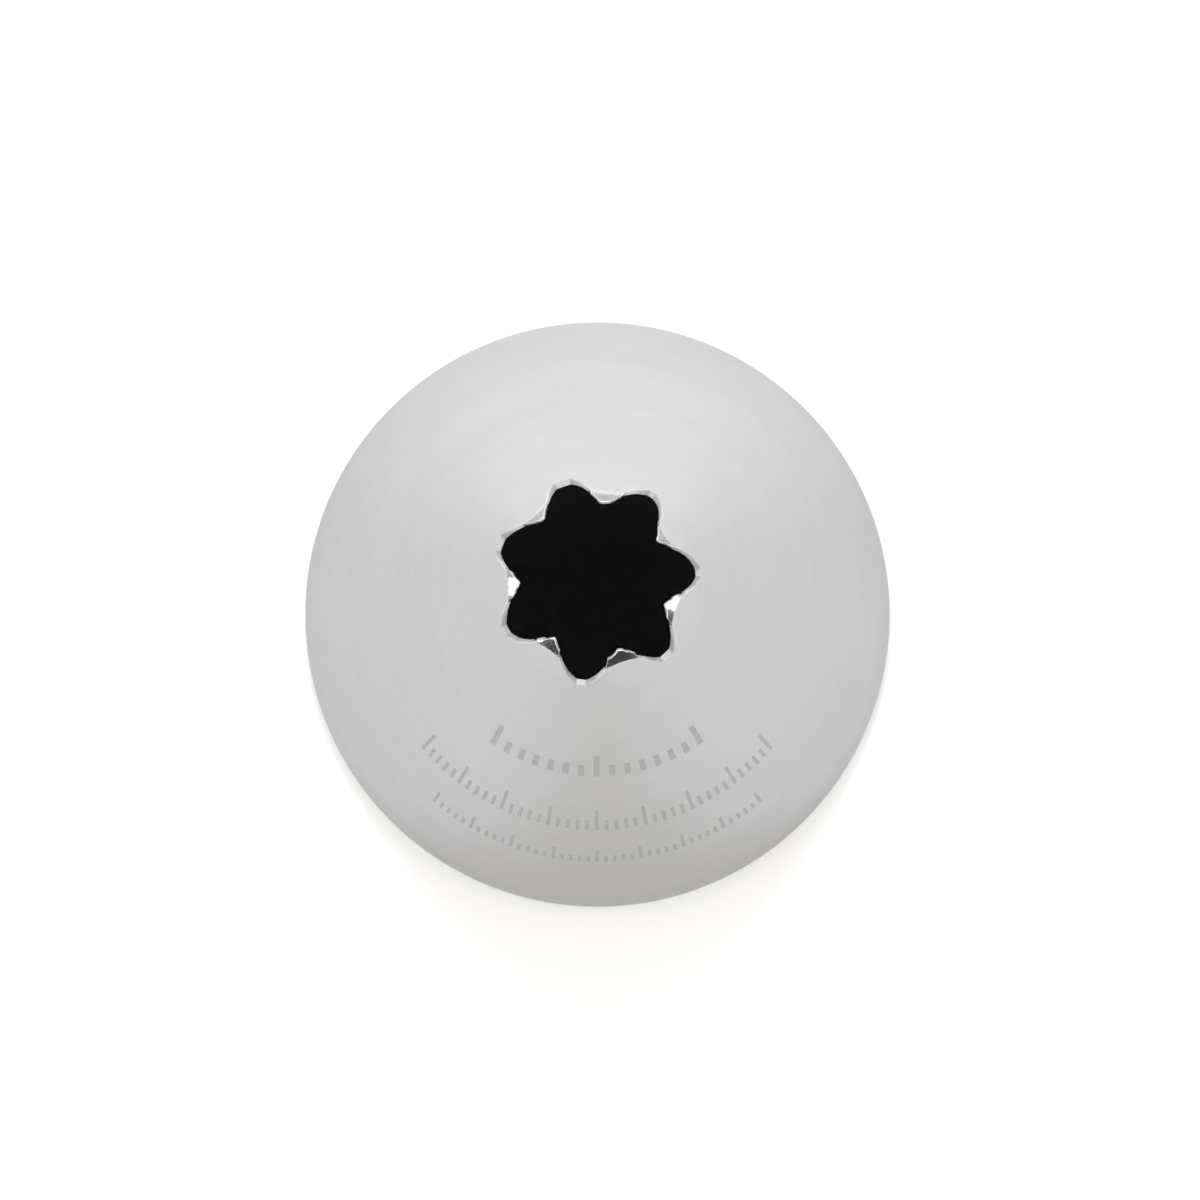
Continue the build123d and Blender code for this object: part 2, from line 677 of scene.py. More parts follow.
@dataclass
class RingStretch:
    """A stretch of the sheet that goes all the way round: the collar, the cone or the nose."""

    name: str
    node: str
    low_level: float
    high_level: float
    rows: int
    round_edge: float = 0.0
    columns: int = 336
    quarter_steps: int = 8

    def skin(self, sheet: DrawnSheet) -> Skin:
        """Work out the stretch's skin.

        The outside is the sheet's own surface between two levels, and the inside lies one wall
        back from it, moved to the outside's levels so that both ends are flat.

        Args:
            sheet: The sheet that the stretch is part of.

        Returns:
            The skin, from the top of the outside down to the foot and up the inside.
        """
        turns = np.arange(self.columns) * 2 * np.pi / self.columns
        levels = np.linspace(self.high_level, self.low_level + self.round_edge, self.rows)
        turn, level = np.meshgrid(turns, levels, indexing="ij")
        outside, inner, normal = sheet.faces(turn, level)
        inner[..., 2] = level
        bands = [
            Skin.band(outside, normal),
            Skin.band(inner[:, ::-1], -normal[:, ::-1], inside=1.0),
        ]
        if self.round_edge > 0:
            bands.insert(1, self.foot_rounding(outside[:, -1], inner[:, -1]))
        return Skin.lap(*bands)

    def foot_rounding(self, outer: Array, inner: Array) -> Skin:
        """Round the foot of the sheet with two quarter circles and a flat between them.

        A quarter circle is its centre plus the radius times the cosine of the angle outwards
        and its sine downwards.

        Args:
            outer: Last points of the outside, one to a column.
            inner: First points of the inside, one to a column.

        Returns:
            The band of skin round the foot.
        """
        away = outer - inner
        away[:, 2] = 0
        outwards = unit(away)[:, None, :]
        down = np.array([0.0, 0.0, -1.0])
        first = quarter_circle(self.quarter_steps)[:, None]
        second = first[::-1]
        outer_core = outer[:, None, :] - outwards * self.round_edge
        inner_core = inner[:, None, :] + outwards * self.round_edge
        outer_normal = np.cos(first) * outwards + np.sin(first) * down
        inner_normal = -np.cos(second) * outwards + np.sin(second) * down
        outer_arc = outer_core + self.round_edge * outer_normal
        inner_arc = inner_core + self.round_edge * inner_normal
        share = np.linspace(0, 1, 2 * self.quarter_steps)
        return Skin.band(
            np.concatenate([outer_arc, inner_arc], axis=1),
            np.concatenate([outer_normal, inner_normal], axis=1),
            inside=ease(share),
            edge=np.sin(np.pi * share),
        )

    def build(self, sheet: DrawnSheet) -> bpy.types.Object:
        """Build the stretch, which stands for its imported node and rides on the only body.

        Args:
            sheet: The sheet that the stretch is part of.

        Returns:
            The finished piece.
        """
        piece = shell_object(self.name, self.skin(sheet), closed_round=True)
        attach(piece, BODY)
        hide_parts(self.node)
        return piece


@dataclass
class StarTooth:
    """One tooth of the crown, from the middle of one notch to the middle of the next."""

    number: int
    sheet: ToothSheet
    columns: int = 141
    rows: int = 76
    border: float = 0.05
    border_rows: int = 8
    edge_radius: float = 0.006
    tip_radius: float = 0.014
    quarter_steps: int = 5
    row_crowding: float = 1.5
    burr_depth: float = 0.008
    burr_lengths: tuple[float, ...] = (0.11, 0.19, 0.41)
    # Gain of the bent mask on the cut band, which sets its roughness and where its painted
    # highlight lies.
    burr_swell: float = 4.0
    flank_gloss_and_highlight: float = 4.0
    trace_points: int = 4001
    trace_step: float = 2e-3

    def edge_line(self) -> tuple[Array, Array, Array, Array]:
        """Columns spaced evenly along the cut edge, with the direction into the sheet.

        The edge is traced finely, its length is added up, and the turns are read back at even
        lengths. The direction into the sheet is the edge's own direction turned by a right
        angle in the unrolled sheet. The burrs are a sum of sines of the length that dies out
        at the notch floors.

        Returns:
            Turn and level of the edge at each column, the inward direction (across, up) and
            how deep the burrs take the edge into the sheet.
        """
        sheet = self.sheet
        fine = np.linspace(-sheet.pitch / 2, sheet.pitch / 2, self.trace_points)
        height = sheet.edge_level(fine)
        radius = sheet.radius(fine, height)
        steps = np.hypot(np.diff(fine) * radius[1:], np.hypot(np.diff(height), np.diff(radius)))
        walked = np.concatenate([[0], np.cumsum(steps)])
        along = np.linspace(0, walked[-1], self.columns)
        turn = np.interp(along, walked, fine)
        small = self.trace_step
        rise = (sheet.edge_level(turn + small) - sheet.edge_level(turn - small)) / (2 * small)
        level = sheet.edge_level(turn)
        direction = unit(np.stack([sheet.radius(turn, level), rise], axis=-1))
        inward = np.stack([direction[:, 1], -direction[:, 0]], axis=-1)
        phases = sheet.bend.dent_phase * (1 + np.arange(len(self.burr_lengths)))
        lengths = np.array(self.burr_lengths)
        burrs = np.sin(2 * np.pi * along[:, None] / lengths + phases).sum(axis=-1)
        window = np.clip(self.burr_swell * np.sin(np.pi * along / walked[-1]), 0, 1)
        return turn, level, inward, self.burr_depth * burrs * window

    def inset(
        self, turn: Array, level: Array, inward: Array, depth: Array
    ) -> tuple[Array, Array]:
        """Move from the edge into the sheet by a depth.

        Args:
            turn: Turn of the edge at each column.
            level: Level of the edge at each column.
            inward: Direction into the unrolled sheet at each column.
            depth: Depths of shape (columns, places).

        Returns:
            Turn and level of shape (columns, places).
        """
        steep = np.linalg.norm(self.sheet.frame_at(turn, level)[1], axis=-1)
        radius = self.sheet.radius(turn, level)
        turns = turn[:, None] + inward[:, :1] * depth / radius[:, None]
        levels = level[:, None] + inward[:, 1:] * depth / steep[:, None]
        return turns, levels

    def rounding(self, turn: Array) -> Array:
        """Radius of the rounded edge at each column: small on the floors, larger at the tip."""
        share = self.sheet.cut_share(turn)
        return self.edge_radius + (self.tip_radius - self.edge_radius) * share

    def skin(self) -> Skin:
        """Work out the tooth's skin.

        Each column starts at the foot, crosses the face to a narrow border along the cut, then
        the border square to the cut, goes round the edge and comes back down the inside.
        Between the foot and the border a point is the mean of the two, weighted so that rows
        crowd towards the border. In the border the burrs fade with the square of the distance
        from its inner side.

        Returns:
            The skin of shape (columns, loop).
        """
        sheet = self.sheet
        turn, level, inward, burrs = self.edge_line()
        small = self.rounding(turn)[:, None]
        away = np.linspace(1, 0, self.border_rows)[None, :]
        depth = small + (self.border - small) * away + burrs[:, None] * (1 - away) ** 2
        border_turn, border_level = self.inset(turn, level, inward, depth)
        foot_turn = np.linspace(-sheet.pitch / 2, sheet.pitch / 2, self.columns)[:, None]
        weight = ((1 - np.linspace(0, 1, self.rows)) ** self.row_crowding)[:-1]
        face_turn, face_level = (
            np.concatenate([weight * foot + (1 - weight) * border[:, :1], border], axis=1)
            for foot, border in ((foot_turn, border_turn), (sheet.foot_level, border_level))
        )
        outside, inner, normal = sheet.faces(face_turn, face_level)
        inner[:, 0, 2] = sheet.foot_level
        bent = sheet.bent_share(face_turn, face_level)
        return Skin.lap(
            Skin.band(outside, normal, bent=bent),
            self.edge_rounding(turn, level, inward, burrs),
            Skin.band(inner[:, ::-1], -normal[:, ::-1], inside=1.0, bent=bent[:, ::-1]),
        )

    def edge_rounding(self, turn: Array, level: Array, inward: Array, burrs: Array) -> Skin:
        """Carry the skin round the cut edge: a quarter circle, a flat and a quarter circle.

        Across the edge the normal turns from the outside's, through the direction out of the
        sheet, to the inside's. A place is the outside point at its depth less its share of the
        wall times the outside normal. The mask of the bent end is nothing on the notch floors
        and rises beside them, which keeps the floors' finish apart from that of the other cuts,
        whose colour is lifted as a painted highlight.

        Args:
            turn: Turn of the edge at each column.
            level: Level of the edge at each column.
            inward: Direction into the unrolled sheet at each column.
            burrs: How deep the burrs take the edge into the sheet at each column.

        Returns:
            The band of skin round the edge.
        """
        quarter = quarter_circle(self.quarter_steps)
        wall = self.sheet.wall(level)[:, None]
        small = self.rounding(turn)[:, None]
        depth = small * (1 - np.sin(np.concatenate([quarter, quarter[::-1]])))
        near = small * (1 - np.cos(quarter))
        sunk = np.concatenate([near, wall - near[:, ::-1]], axis=1)
        angle = np.concatenate([quarter, np.pi - quarter[::-1]])
        turns, levels = self.inset(turn, level, inward, depth + burrs[:, None])
        along, upward, normal = self.sheet.frame_at(turns, levels)
        across = unit(along)
        climb = unit(upward - np.sum(upward * across, axis=-1, keepdims=True) * across)
        outward = -(inward[:, None, :1] * across + inward[:, None, 1:] * climb)
        points = self.sheet.place(turns, levels) - sunk[..., None] * normal
        normals = np.cos(angle)[None, :, None] * normal + np.sin(angle)[None, :, None] * outward
        return Skin.band(
            points,
            unit(normals),
            inside=ease(np.linspace(0, 1, 2 * self.quarter_steps)),
            edge=1.0,
            bent=ease(self.flank_gloss_and_highlight * self.sheet.cut_share(turn))[:, None],
        )

    def build(self) -> bpy.types.Object:
        """Build the tooth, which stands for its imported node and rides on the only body.

        Returns:
            The finished piece.
        """
        name = f"tooth_{self.number}"
        piece = shell_object(name, self.skin(), closed_round=False)
        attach(piece, BODY)
        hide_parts(f"star_tooth_{self.number}")
        return piece


def rgba(colour: Union[Colour, Socket]) -> Source:
    """A plain colour with a full last channel; a socket stays as it is."""
    return (*colour, 1.0) if isinstance(colour, tuple) else colour


class Nodes:
    """Short hand for laying out the nodes of one tree."""

    def __init__(self, tree: bpy.types.NodeTree) -> None:
        """Keep the tree that the nodes go into."""
        self.tree = tree

    def add(self, kind: str, **settings: object) -> bpy.types.Node:
        """Add a node and set its plain properties.

        Args:
            kind: Name of the node's type.
            settings: Its properties by name.

        Returns:
            The new node.
        """
        node = self.tree.nodes.new(kind)
        for label, value in settings.items():
            setattr(node, label, value)
        return node

    def join(self, source: Source, target: Socket) -> None:
        """Link a socket to an input, or write a plain value into it.

        Args:
            source: The socket or the plain value.
            target: The input.
        """
        if isinstance(source, Socket):
            self.tree.links.new(source, target)
        else:
            target.default_value = source

    def fill(self, node: bpy.types.Node, values: dict[str, Source]) -> bpy.types.Node:
        """Fill a node's inputs by name.

        Args:
            node: The node.
            values: A socket or plain value for each named input.

        Returns:
            The same node.
        """
        for label, value in values.items():
            self.join(value, node.inputs[label])
        return node

    def split(self, vector: Socket) -> bpy.types.bpy_prop_collection:
        """Split a vector, and give the outputs X, Y and Z."""
        return self.fill(self.add("ShaderNodeSeparateXYZ"), {"Vector": vector}).outputs

    def group(self, tree: bpy.types.NodeTree, values: dict[str, Source]) -> Socket:
        """Place a node group, fill its inputs and give its only output."""
        return self.fill(self.add("ShaderNodeGroup", node_tree=tree), values).outputs[0]

    def sum(self, operation: str, *values: Source) -> Socket:
        """Work out one step of arithmetic.

        Args:
            operation: Name of the Math node's operation.
            values: Its inputs in order.

        Returns:
            The result's socket.
        """
        node = self.add("ShaderNodeMath", operation=operation)
        for place, value in enumerate(values):
            self.join(value, node.inputs[place])
        return node.outputs[0]

    def weigh(self, *parts: tuple[Source, float]) -> Socket:
        """Add up two values, each multiplied by its own weight."""
        return self.sum("ADD", *(self.sum("MULTIPLY", value, weight) for value, weight in parts))

    def off_whole(self, value: Socket) -> Socket:
        """How far a value is from its nearest whole number.

        The remainder of the value plus a half, less a half, without its sign.

        Args:
            value: The value.

        Returns:
            The distance, from 0 to a half.
        """
        remainder = self.sum("FRACT", self.sum("ADD", value, 0.5))
        return self.sum("ABSOLUTE", self.sum("SUBTRACT", remainder, 0.5))

    def step(self, value: Source, span: Span, start: Source = 0.0, end: Source = 1.0) -> Socket:
        """Smooth change from one value to another as the input crosses a span.

        Args:
            value: The input.
            span: Where the change begins and ends.
            start: Result before the span.
            end: Result after it.

        Returns:
            The result's socket.
        """
        node = self.add("ShaderNodeMapRange", interpolation_type="SMOOTHSTEP")
        values = {"Value": value, "From Min": span[0], "From Max": span[1]}
        return self.fill(node, {**values, "To Min": start, "To Max": end}).outputs[0]

    def band(self, value: Source, span: Span, soft: float) -> Socket:
        """Mask that is 1 between two limits and falls off softly across each of them.

        Args:
            value: The input.
            span: The two limits.
            soft: Half the width of the fall.

        Returns:
            The mask's socket.
        """
        rise = self.step(value, (span[0] - soft, span[0] + soft))
        fall = self.step(value, (span[1] - soft, span[1] + soft))
        return self.sum("MULTIPLY", rise, self.sum("SUBTRACT", 1.0, fall))

    def noise(self, vector: Socket, scale: Source, detail: float) -> Socket:
        """Noise texture on the given coordinates.

        Args:
            vector: The coordinates.
            scale: How many patches there are to a unit of them.
            detail: How many finer layers it has.

        Returns:
            The noise's value, about a half on average.
        """
        values = {"Vector": vector, "Scale": scale, "Detail": detail}
        return self.fill(self.add("ShaderNodeTexNoise"), values).outputs["Fac"]

    def stretch(self, vector: Socket, factors: Triple) -> Socket:
        """Coordinates with each axis multiplied by its own factor."""
        node = self.add("ShaderNodeMapping", vector_type="POINT")
        return self.fill(node, {"Vector": vector, "Scale": factors}).outputs[0]

    def blend(
        self, share: Source, first: Union[Colour, Socket], second: Union[Colour, Socket]
    ) -> Socket:
        """Mix two colours.

        Args:
            share: Share of the second colour.
            first: Colour at 0.
            second: Colour at 1.

        Returns:
            The mixed colour's socket.
        """
        node = self.add("ShaderNodeMix", data_type="RGBA")
        self.join(share, node.inputs["Factor"])
        ends = [socket for socket in node.inputs if socket.type == "RGBA"]
        self.join(rgba(first), ends[0])
        self.join(rgba(second), ends[1])
        return [socket for socket in node.outputs if socket.type == "RGBA"][0]


@dataclass
class EffectGroup:
    """An empty shader node group on coordinates, which puts out one mask or height."""

    effect: Effect
    output: str
    numbers: tuple[str, ...] = ()

    def open(self) -> tuple[Nodes, bpy.types.Node, Socket]:
        """Make the group with its named inputs and its output.

        Returns:
            The group's nodes, its input node and the socket that takes its result.
        """
        tree = bpy.data.node_groups.new(self.effect.value, "ShaderNodeTree")
        kinds = {"Vector": "NodeSocketVector", **dict.fromkeys(self.numbers, "NodeSocketFloat")}
        for label, kind in kinds.items():
            tree.interface.new_socket(label, in_out="INPUT", socket_type=kind)
        tree.interface.new_socket(self.output, in_out="OUTPUT", socket_type="NodeSocketFloat")
        nodes = Nodes(tree)
        start = nodes.add("NodeGroupInput")
        return nodes, start, nodes.add("NodeGroupOutput").inputs[self.output]


@dataclass(frozen=True)
class TumbledGrain:
    """Fine grain that tumbling in stones leaves: the weighted sum of a fine and a coarse noise."""

    coarse_share: float = 0.31
    fine_weight: float = 0.45
    coarse_weight: float = 0.55
    detail: float = 1.0

    def build(self) -> bpy.types.NodeTree:
        """Build the group, whose density is in patches per metre.

        Returns:
            The group's tree.
        """
        nodes, start, end = EffectGroup(Effect.GRAIN, "Height", ("Per Metre",)).open()
        vector, density = start.outputs["Vector"], start.outputs["Per Metre"]
        fine = nodes.noise(vector, density, self.detail)
        sparse = nodes.sum("MULTIPLY", density, self.coarse_share)
        coarse = nodes.noise(vector, sparse, self.detail)
        nodes.join(nodes.weigh((fine, self.fine_weight), (coarse, self.coarse_weight)), end)
        return nodes.tree


@dataclass(frozen=True)
class DrawLines:
    """Faint lines round the cone: the weighted sum of two noises with the rings drawn out.

    Each noise has its own patches per metre along X, Y and Z, few across the nozzle and many
    along its axis.
    """

    fine_density: Triple = (50.0, 50.0, 1700.0)
    wide_density: Triple = (25.0, 25.0, 450.0)
    weight: float = 0.5
    detail: float = 1.0

    def build(self) -> bpy.types.NodeTree:
        """Build the group.

        Returns:
            The group's tree.
        """
        nodes, start, end = EffectGroup(Effect.LINES, "Height").open()
        parts = [
            (nodes.noise(nodes.stretch(start.outputs["Vector"], density), 1.0, self.detail),
             self.weight)
            for density in (self.fine_density, self.wide_density)
        ]
        nodes.join(nodes.weigh(*parts), end)
        return nodes.tree


@dataclass(frozen=True)
class HandlingMarks:
    """Soft cloudy patches that wiping and washing leave: smooth noise, eased across a span."""

    per_metre: float = 230.0
    detail: float = 0.0
    span: Span = (0.10, 0.90)

    def build(self) -> bpy.types.NodeTree:
        """Build the group.

        Returns:
            The group's tree.
        """
        nodes, start, end = EffectGroup(Effect.HANDLING, "Cloud").open()
        cloud = nodes.noise(start.outputs["Vector"], self.per_metre, self.detail)
        nodes.join(nodes.step(cloud, self.span), end)
        return nodes.tree


@dataclass(frozen=True)
class Graduation:
    """One row of a plain etched scale on the cone: fine ticks round part of the front.

    Levels are in millimetres: the foot of the ticks, their head and the head of the longer
    ones. The last field is how much of the pitch a tick takes up.
    """

    low_level: float
    high_level: float
    major_level: float
    first_deg: float
    last_deg: float
    pitch_deg: float
    major_every: int
    tick_share: float


@dataclass(frozen=True)
class GraduationMarks:
    """Etched ticks of a plain scale, as a mask on the object's own coordinates.

    The turn from the front is the arc tangent of x over minus y, and a tick is where the turn
    divided by the pitch is close to a whole number. The softness is counted in pitches at the
    sides of a tick, and in degrees at the ends of a row.
    """

    rows: tuple[Graduation, ...] = (
        Graduation(17.3, 18.6, 19.8, -35.0, 35.0, 5.0, 7, 0.36),
        Graduation(10.9, 12.1, 13.3, -50.0, 50.0, 2.5, 5, 0.34),
        Graduation(7.0, 7.7, 8.4, -40.0, 40.0, 2.0, 5, 0.34),
    )
    softness: float = 0.05

    def row_mask(self, nodes: Nodes, row: Graduation, turn: Socket, level: Socket) -> Socket:
        """Mask of one row of ticks.

        The turn past the first tick is counted in pitches. A tick is long where that count is
        less than a half from a multiple of the number that goes to a long one.

        Args:
            nodes: The group's nodes.
            row: The row.
            turn: Turn from the front, in degrees.
            level: Height above the open end, in millimetres.

        Returns:
            The mask's socket.
        """
        counted = nodes.sum("DIVIDE", nodes.sum("SUBTRACT", turn, row.first_deg), row.pitch_deg)
        side = row.tick_share / 2
        tick = nodes.step(nodes.off_whole(counted), (side, side + self.softness), 1.0, 0.0)
        aside = nodes.off_whole(nodes.sum("DIVIDE", counted, float(row.major_every)))
        major = nodes.sum("LESS_THAN", aside, 0.5 / row.major_every)
        top = nodes.sum("MULTIPLY_ADD", major, row.major_level - row.high_level, row.high_level)
        above = nodes.sum("GREATER_THAN", level, row.low_level)
        below = nodes.sum("LESS_THAN", level, top)
        reach = row.pitch_deg * row.tick_share
        within = nodes.band(turn, (row.first_deg - reach, row.last_deg + reach), self.softness)
        return nodes.sum(
            "MULTIPLY", nodes.sum("MULTIPLY", tick, within), nodes.sum("MULTIPLY", above, below)
        )

    def build(self) -> bpy.types.NodeTree:
        """Build the group, whose mask is the greatest of the rows' masks.

        Returns:
            The group's tree.
        """
        nodes, start, end = EffectGroup(Effect.GRADUATION, "Mask").open()
        place = nodes.split(start.outputs["Vector"])
        level = nodes.sum("DIVIDE", place["Z"], MM)
        ahead = nodes.sum("MULTIPLY", place["Y"], -1.0)
        turn = nodes.sum("MULTIPLY", nodes.sum("ARCTAN2", place["X"], ahead), 180 / math.pi)
        total: Source = 0.0
        for row in self.rows:
            total = nodes.sum("MAXIMUM", self.row_mask(nodes, row, turn, level), total)
        nodes.join(total, end)
        return nodes.tree


@dataclass(frozen=True)
class SteelFinish:
    """Stainless steel as one piece shows it: satin outside, rougher inside with painted shade, its
    own cut edges.

    The cut colour and roughness are those of the notch floors and the foot, and the edge
    colour and roughness those of the cut round a tooth's end. Where the edge colour is brighter
    than the cut colour, it is a painted highlight on that cut. A span is where an effect's
    height goes from counting for nothing to counting fully. The clouds shift the roughness by
    two amounts, and the bite's two shares are how much of the etched colour the grain leaves.
    """

    name: str
    cut_colour: Colour
    # Painted highlight where brighter than the cut colour: the cut round a tooth's end.
    edge_colour_and_highlight: Colour
    cut_roughness: float
    edge_roughness: float
    bent_roughness: float
    marked: bool
    colour: Colour = (0.517, 0.515, 0.512)
    cool_colour: Colour = (0.479, 0.480, 0.481)
    # Painted shade: the inside is coloured dark for the little light that reaches into the cone.
    painted_inside_shade: Colour = (0.13, 0.13, 0.126)
    etched_colour: Colour = (0.36, 0.36, 0.355)
    glancing_tint: Colour = (0.710, 0.703, 0.702)
    roughness: float = 0.288
    cloud_roughness: Span = (-0.010, 0.012)
    grain_roughness: float = 0.02
    etched_roughness: float = 0.20
    inside_roughness: float = 0.46
    line_span: Span = (0.38, 0.62)
    grain_span: Span = (0.35, 0.65)
    cloud_weight: float = 0.40
    line_weight: float = 0.35
    grain_weight: float = 0.25
    bite_span: Span = (0.2, 0.6)
    bite_share: Span = (0.72, 0.92)
    grain_per_metre: float = 3400.0
    grain_depth: float = 0.0008
    line_depth: float = 0.0012

    def build(self, groups: dict[Effect, bpy.types.NodeTree]) -> bpy.types.Material:
        """Make the material.

        Args:
            groups: The shared effect groups.

        Returns:
            The new material.
        """
        material = bpy.data.materials.new(self.name)
        material.use_nodes = True
        material.node_tree.nodes.clear()
        nodes = Nodes(material.node_tree)
        vector = nodes.add("ShaderNodeTexCoord").outputs["Object"]
        inside, edge, bent = (
            nodes.add("ShaderNodeAttribute", attribute_name=mask.value).outputs["Fac"]
            for mask in Mask
        )
        density = {"Vector": vector, "Per Metre": self.grain_per_metre}
        grain = nodes.group(groups[Effect.GRAIN], density)
        lines = nodes.group(groups[Effect.LINES], {"Vector": vector})
        cloud = nodes.group(groups[Effect.HANDLING], {"Vector": vector})

        colour, rough = self.worn(nodes, grain, lines, cloud)
        rough = nodes.step(bent, WHOLE, rough, self.bent_roughness)
        if self.marked:
            marks = nodes.group(groups[Effect.GRADUATION], {"Vector": vector})
            marks = nodes.sum("MULTIPLY", marks, nodes.sum("SUBTRACT", 1.0, inside))
            bite = nodes.step(grain, self.bite_span, *self.bite_share)
            bitten = nodes.sum("MULTIPLY", marks, bite)
            colour = nodes.blend(bitten, colour, self.etched_colour)
            rough = nodes.sum("MULTIPLY_ADD", marks, self.etched_roughness, rough)
        # Painted shade: the inside mask darkens the colour of the inside faces.
        colour = nodes.blend(inside, colour, self.painted_inside_shade)
        # Cut edges take the cut colour; round a tooth's end they take the edge colour, a painted
        # highlight in the pressed steel.
        colour = nodes.blend(edge, colour, nodes.blend(bent, self.cut_colour, self.edge_colour_and_highlight))
        rough = nodes.step(inside, WHOLE, rough, self.inside_roughness)
        cut_rough = nodes.step(bent, WHOLE, self.cut_roughness, self.edge_roughness)
        rough = nodes.step(edge, WHOLE, rough, cut_rough)
        shader = nodes.fill(nodes.add("ShaderNodeBsdfPrincipled"), {
            "Base Color": colour,
            "Roughness": rough,
            "Metallic": 1.0,
            "Specular Tint": rgba(self.glancing_tint),
            "Normal": self.relief(nodes, (lines, self.line_depth), (grain, self.grain_depth)),
        })
        output = nodes.add("ShaderNodeOutputMaterial")
        nodes.join(shader.outputs["BSDF"], output.inputs["Surface"])
        return material

    def worn(
        self, nodes: Nodes, grain: Socket, lines: Socket, cloud: Socket
    ) -> tuple[Socket, Socket]:
        """Colour and roughness of the steel as handling, drawing and tumbling leave it.

        The colour goes from the warm to the cool one by the weighted sum of the three effects.
        The roughness is the finish's own, shifted a little by the clouds and the grain.

        Args:
            nodes: The material's nodes.
            grain: Height of the grain.
            lines: Height of the draw lines.
            cloud: Mask of the handling marks.

        Returns:
            The colour's socket and the roughness's socket.
        """
        ringed = nodes.sum("MULTIPLY", nodes.step(lines, self.line_span), self.line_weight)
        wear = nodes.sum("MULTIPLY_ADD", cloud, self.cloud_weight, ringed)
        grained = nodes.step(grain, self.grain_span)
        wear = nodes.sum("MULTIPLY_ADD", grained, self.grain_weight, wear)
        low, high = (self.roughness + shift for shift in self.cloud_roughness)
        rough = nodes.step(cloud, WHOLE, low, high)
        rough = nodes.sum("ADD", rough, nodes.sum("MULTIPLY", grain, self.grain_roughness))
        return nodes.blend(wear, self.colour, self.cool_colour), rough

    @staticmethod
    def relief(nodes: Nodes, *layers: tuple[Socket, float]) -> Socket:
        """Normal of the surface with bumps laid one over another.

        Args:
            nodes: The material's nodes.
            layers: Height and depth in millimetres of each layer, from the bottom up.

        Returns:
            The normal's socket.
        """
        below: dict[str, Source] = {}
        for height, depth in layers:
            bump = nodes.add("ShaderNodeBump")
            nodes.fill(bump, {"Height": height, "Distance": depth * MM, **below})
            below = {"Normal": bump.outputs["Normal"]}
        return below["Normal"]


SATIN = SteelFinish(
    name="satin steel",
    cut_colour=(0.56, 0.56, 0.55),
    edge_colour_and_highlight=(0.56, 0.56, 0.55),
    cut_roughness=0.30,
    edge_roughness=0.30,
    bent_roughness=0.20,
    marked=True,
)

PRESSED = SteelFinish(
    name="pressed steel",
    cut_colour=(0.56, 0.56, 0.555),
    # Painted highlight: the cut round the teeth's ends is lifted far above the steel's own colour.
    edge_colour_and_highlight=(0.80, 0.80, 0.795),
    cut_roughness=0.78,
    edge_roughness=0.42,
    bent_roughness=0.13,
    marked=False,
)


@dataclass
class Nozzle:
    """The whole nozzle: collar, cone, nose and a crown of teeth, all cut from one sheet."""

    sheet: DrawnSheet = field(default_factory=DrawnSheet)
    notch_turns_deg: tuple[float, ...] = (3.5, 56.9, 108.6, 158.4, 210.2, 263.4, 314.3)
    lip_rounding: float = 0.12
    collar_rows: int = 14
    cone_rows: int = 120
    nose_rows: int = 72
    bends: tuple[ToothBend, ...] = (
        ToothBend(3.4, 1.9, 0.9, -0.19, 0.200, 1.1, -0.07, 0.030, 0.0034, 0.4),
        ToothBend(2.2, 4.4, 3.6, -0.10, 0.004, 1.1, -0.01, 0.080, 0.0016, 1.9),
        ToothBend(5.2, 3.7, 1.2, 0.13, -0.054, -0.9, -0.03, 0.050, 0.0012, 3.1),
        ToothBend(5.3, 4.7, 1.7, 0.05, -0.051, -0.4, 0.01, 0.025, 0.0007, 4.4),
        ToothBend(1.5, 5.1, 0.9, -0.15, 0.071, -0.9, 0.02, 0.025, 0.0042, 5.2),
        ToothBend(1.5, 4.8, 0.6, 0.16, -0.007, -0.7, 0.05, 0.022, 0.0005, 0.9),
        ToothBend(3.3, 1.7, 0.4, 0.12, 0.045, 0.2, 0.03, 0.035, 0.0007, 2.6),
    )

    def rings(self) -> tuple[RingStretch, ...]:
        """The three stretches that go all the way round.

        Returns:
            The stretches, from the open end up.
        """
        collar, line = self.sheet.collar_level, self.sheet.forming_line_level
        foot = self.sheet.foot_level
        return (
            RingStretch(
                "collar_ring", "base_rim", 0.0, collar, self.collar_rows, self.lip_rounding
            ),
            RingStretch("cone_skin", "cone_wall", collar, line, self.cone_rows),
            RingStretch("nose_skin", "nose_collar", line, foot, self.nose_rows),
        )

    def teeth(self) -> tuple[StarTooth, ...]:
        """The teeth, each between two notches.

        Returns:
            The teeth in order round the crown.
        """
        lows = np.radians(self.notch_turns_deg)
        highs = np.append(lows[1:], lows[0] + 2 * np.pi)
        return tuple(
            StarTooth(
                number=place + 1,
                sheet=ToothSheet(bend=bend, centre_turn=(low + high) / 2, pitch=high - low),
            )
            for place, (bend, low, high) in enumerate(zip(self.bends, lows, highs))
        )

    def build(self) -> list[bpy.types.Object]:
        """Build and dress every piece.

        Returns:
            The pieces, from the open end up and then round the crown.
        """
        groups = {
            Effect.GRAIN: TumbledGrain().build(),
            Effect.LINES: DrawLines().build(),
            Effect.HANDLING: HandlingMarks().build(),
            Effect.GRADUATION: GraduationMarks().build(),
        }
        satin = SATIN.build(groups)
        pressed = PRESSED.build(groups)
        pieces = []
        for stretch in self.rings():
            piece = stretch.build(self.sheet)
            piece.data.materials.append(satin)
            pieces.append(piece)
        for tooth in self.teeth():
            piece = tooth.build()
            piece.data.materials.append(pressed)
            pieces.append(piece)
        return pieces


